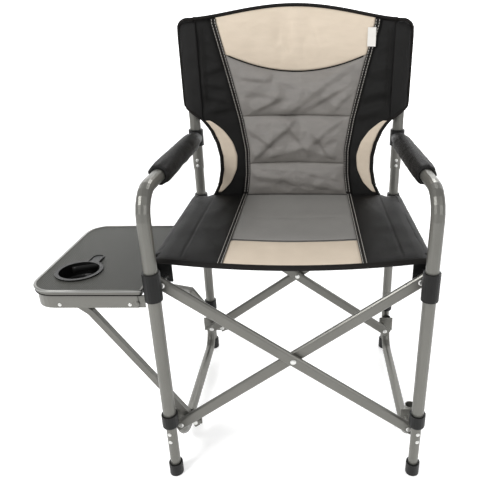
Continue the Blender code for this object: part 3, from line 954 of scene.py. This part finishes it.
# %% Padded arms
def arm_pad(side, body):
    node = side + "_arm_pad"
    low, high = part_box(node)
    centre, half_run = (low + high) / 2, (high.y - low.y) / 2
    radius = (high.x - low.x) / 2
    rings, sides = 80, 40
    verts, faces = [], []
    for i in range(rings + 1):
        along = -1 + 2 * i / rings
        bulge = (1 - abs(along) ** 9) ** 0.35 if abs(along) < 1 else 0.0
        pucker = 0.0011 * abs(along) ** 4
        for k in range(sides):
            turn = 2 * math.pi * k / sides
            swell = radius * (0.70 + 0.28 * bulge) + pucker * math.cos(turn * 9)
            place = Vector((turn * 0.03, along * half_run, radius * math.sin(turn)))
            swell += 0.0010 * crease(place, 2.0, 0.03)
            verts.append(centre + Vector((swell * math.cos(turn), along * half_run, swell * math.sin(turn))))
    for i in range(rings):
        for k in range(sides):
            n = (k + 1) % sides
            faces.append((i * sides + k, i * sides + n, (i + 1) * sides + n, (i + 1) * sides + k))
    inner = 0.62 * radius
    for end, ring in ((0, 0), (1, rings)):
        base = len(verts)
        y = centre.y + (-1 + 2 * end) * half_run
        verts += [Vector((centre.x + inner * math.cos(2 * math.pi * k / sides), y,
                          centre.z + inner * math.sin(2 * math.pi * k / sides))) for k in range(sides)]
        for k in range(sides):
            n = (k + 1) % sides
            faces.append((ring * sides + k, ring * sides + n, base + n, base + k))
    first, second = len(verts) - 2 * sides, len(verts) - sides
    for k in range(sides):
        n = (k + 1) % sides
        faces.append((first + k, first + n, second + n, second + k))
    pad = solid(node + "_cloth", verts, faces, black_cloth, body)
    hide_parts(node)


arm_pad("left", LEFT)
arm_pad("right", RIGHT)
print("arm pads done")

# %% [markdown]
# ## Table edge and cup
# A rounded bead runs round the board's rim in a lighter metal than the trim: a painted highlight
# where light catches the top edge. Below it a thin black bead paints the shade of a groove. The cup
# has a handle slot cut towards the back of the table, with a low wall across the cup's mouth beside
# it. The bead and the dark line follow the board's outline, so they are swept along one shared path.

# %% Rim bead with painted highlight, painted groove shade and cup slot
def rounded(low, high, radius, z, steps=8):
    """Three sides of the board: front, outer end and rear, with two round corners."""
    path = [Vector((high.x, low.y, z))]
    for cx, cy, start in ((low.x + radius, low.y + radius, 270), (low.x + radius, high.y - radius, 180)):
        for k in range(steps + 1):
            turn = math.radians(start - 90 * k / steps)
            path.append(Vector((cx + radius * math.cos(turn), cy + radius * math.sin(turn), z)))
    return path + [Vector((high.x, high.y, z))]


CORNER = 0.045  # radius of the board's two outer corners


def table_details():
    low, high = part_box("table_edge_trim")
    top = high.z
    # Lighter metal on the rim bead: a painted highlight on a real rounded edge.
    bead("table_rim_bead_painted_highlight", rounded(low, high, CORNER, top - 0.0012), 0.0026, rim_highlight_coat, "side_table")
    # A thin black bead low on the trim: painted shade, standing for the dark line of a groove.
    bead("table_groove_painted_shade", rounded(low, high, CORNER, low.z + 0.001), 0.0012, edge_tape, "side_table")
    cup_low, cup_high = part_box("cup_holder")
    centre = (cup_low + cup_high) / 2
    reach = (cup_high.x - cup_low.x) / 2
    wide, back = 0.011, centre.y + reach + 0.026
    near = centre.y + reach - 0.006
    outline = [(wide, near), (wide, back - 0.006), (wide - 0.005, back), (-wide + 0.005, back),
               (-wide, back - 0.006), (-wide, near)]
    base = [Vector((centre.x + 0.014 + x, y, top - 0.0012)) for x, y in outline]
    lid = [place + Vector((0, 0, 0.0028)) for place in base]
    count = len(outline)
    sides = [(k, (k + 1) % count, count + (k + 1) % count, count + k) for k in range(count)]
    faces = [tuple(range(count)), tuple(range(count, 2 * count))] + sides
    solid("cup_handle_slot", base + lid, faces, cup_plastic, "side_table", smooth=False)
    bead("cup_slot_rim", [place + Vector((0, 0, 0.0004)) for place in lid], 0.0011, cup_plastic, "side_table")
    wall = [Vector((centre.x - 0.020 + 0.052 * k / 8, centre.y + 0.014 + 0.020 * k / 8, top - 0.004))
            for k in range(9)]
    bead("cup_divider", wall, 0.0030, cup_plastic, "side_table", flat=2.2)


table_details()
print("table details done")

# %% [markdown]
# ## Rivet heads
# Domed rivet heads stand on the fronts of the legs, on the posts and along the front edge
# of the table band. The frame model leaves them out, so they are added here. Five rings of
# points make a dome, which is enough at this size.

# %% Small metal heads
def dome(name, place, out, radius, height, body):
    side = out.orthogonal().normalized()
    up = out.cross(side)
    verts, faces, rings, sides = [place + out * height], [], 5, 20
    for i in range(1, rings + 1):
        rise = math.pi / 2 * i / rings
        for k in range(sides):
            turn = 2 * math.pi * k / sides
            verts.append(place + (side * math.cos(turn) + up * math.sin(turn)) * radius * math.sin(rise)
                         + out * height * math.cos(rise))
    base = len(verts)
    verts += [v - out * 0.0015 for v in verts[-sides:]]
    faces += [(0, 1 + k, 1 + (k + 1) % sides) for k in range(sides)]
    for i in range(rings):
        start, after = 1 + i * sides, 1 + (i + 1) * sides if i < rings - 1 else base
        for k in range(sides):
            n = (k + 1) % sides
            faces.append((start + k, start + n, after + n, after + k))
    faces.append(tuple(base + k for k in range(sides)))
    return solid(name, verts, faces, rivet_metal, body)


def small_heads():
    for sign, side, upper in ((-1, "left", LEFT), (1, "right", RIGHT)):
        lower = side + "_lower_frame"
        leg_low, leg_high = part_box(side + "_front_inner_leg")
        radius = (leg_high.x - leg_low.x) / 2
        for number, z in enumerate((0.092, 0.112)):
            out = Vector((sign * 0.25, -1, 0)).normalized()
            place = Vector(((leg_low.x + leg_high.x) / 2, FRONT_Y, z)) + out * (radius - 0.0002)
            dome(f"{side}_leg_head_{number + 1}", place, out, 0.0042, 0.0018, lower)
        for number, z in enumerate((0.575, 0.561)):
            out = Vector((0, -1, 0))
            place = Vector((MID_X + sign * HALF, POST_Y - POST_RADIUS + 0.0002, z))
            dome(f"{side}_post_head_{number + 1}", place, out, 0.0040, 0.0016, upper)
    band_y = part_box("table_frame")[0].y + 0.0002
    for number, x in enumerate((-0.430, -0.300)):
        place = Vector((MID_X + x, band_y, 0.418))
        dome(f"table_band_head_{number + 1}", place, Vector((0, -1, 0)), 0.0036, 0.0015, "side_table")


small_heads()
print("rivet heads done")

# %% [markdown]
# ## Blank tag
# A small blank woven tag is sewn to the back over the right-hand tape. A short wide strip on
# the back's curve is all it takes.

# %% Tag
def tag():
    points = [(0.181, 0.848 + 0.042 * i / 12) for i in range(13)]
    folds(strip("blank_tag", points, 0.019, 0.0075, 0.0012, label_cloth, back_at))


tag()
print("tag done")

# %% [markdown]
# ## Light and camera
# A soft white sky, a large key light from the upper left, a fill, and a rim light behind. The
# pale floor and a white wall give off a little light, so that both fade into one white.

# %% Stage
def area(name, place, aim, size, power):
    light = bpy.data.lights.new(name, "AREA")
    light.shape, light.size, light.energy = "DISK", size, power
    lamp = bpy.data.objects.new(name, light)
    bpy.context.collection.objects.link(lamp)
    lamp.location = place
    lamp.rotation_euler = (Vector(aim) - Vector(place)).to_track_quat("-Z", "Y").to_euler()
    return lamp


def glowing(name, corners, glow):
    """A white sheet that also gives off a little light, so it reads as pure white."""
    mesh = bpy.data.meshes.new(name)
    mesh.from_pydata(corners, [], [(0, 1, 2, 3)])
    sheet = bpy.data.objects.new(name, mesh)
    bpy.context.collection.objects.link(sheet)
    finish = Finish(name)
    mesh.materials.append(finish.shade(Base_Color=(0.9, 0.9, 0.9, 1.0), Roughness=1.0, Specular_IOR_Level=0.0,
                                       Emission_Color=(1.0, 1.0, 1.0, 1.0), Emission_Strength=glow))
    return sheet


def stage():
    world = bpy.data.worlds.new("white")
    bpy.context.scene.world = world
    world.use_nodes = True
    world.node_tree.nodes["Background"].inputs["Color"].default_value = (1.0, 1.0, 1.0, 1.0)
    world.node_tree.nodes["Background"].inputs["Strength"].default_value = 0.42
    lens = bpy.data.cameras.new("front_camera")
    lens.lens, lens.sensor_width, lens.shift_x = 38.37, 36.0, -0.144
    camera = bpy.data.objects.new("front_camera", lens)
    bpy.context.collection.objects.link(camera)
    camera.location = (0.1377, -1.0753, 0.8979)
    camera.rotation_euler = (math.radians(67.06), 0.0, 0.0)
    bpy.context.scene.camera = camera
    half, deep = 5.0, 4.0
    floor_corners = [(-half, -half, 0), (half, -half, 0), (half, deep, 0), (-half, deep, 0)]
    wall_corners = [(-half, deep, 0), (half, deep, 0), (half, deep, half), (-half, deep, half)]
    floor = glowing("white_floor", floor_corners, 0.42)
    wall = glowing("white_wall", wall_corners, 1.0)
    key = area("key", (-1.3, -1.5, 2.2), (0, 0, 0.5), 0.9, 46.0)
    fill = area("fill", (1.7, -1.2, 1.3), (0, 0, 0.5), 1.2, 10.0)
    rim = area("rim", (0.6, 1.7, 2.3), (0, 0, 0.7), 1.0, 22.0)
    bpy.context.scene.view_settings.view_transform = "Standard"


stage()
print("stage done")
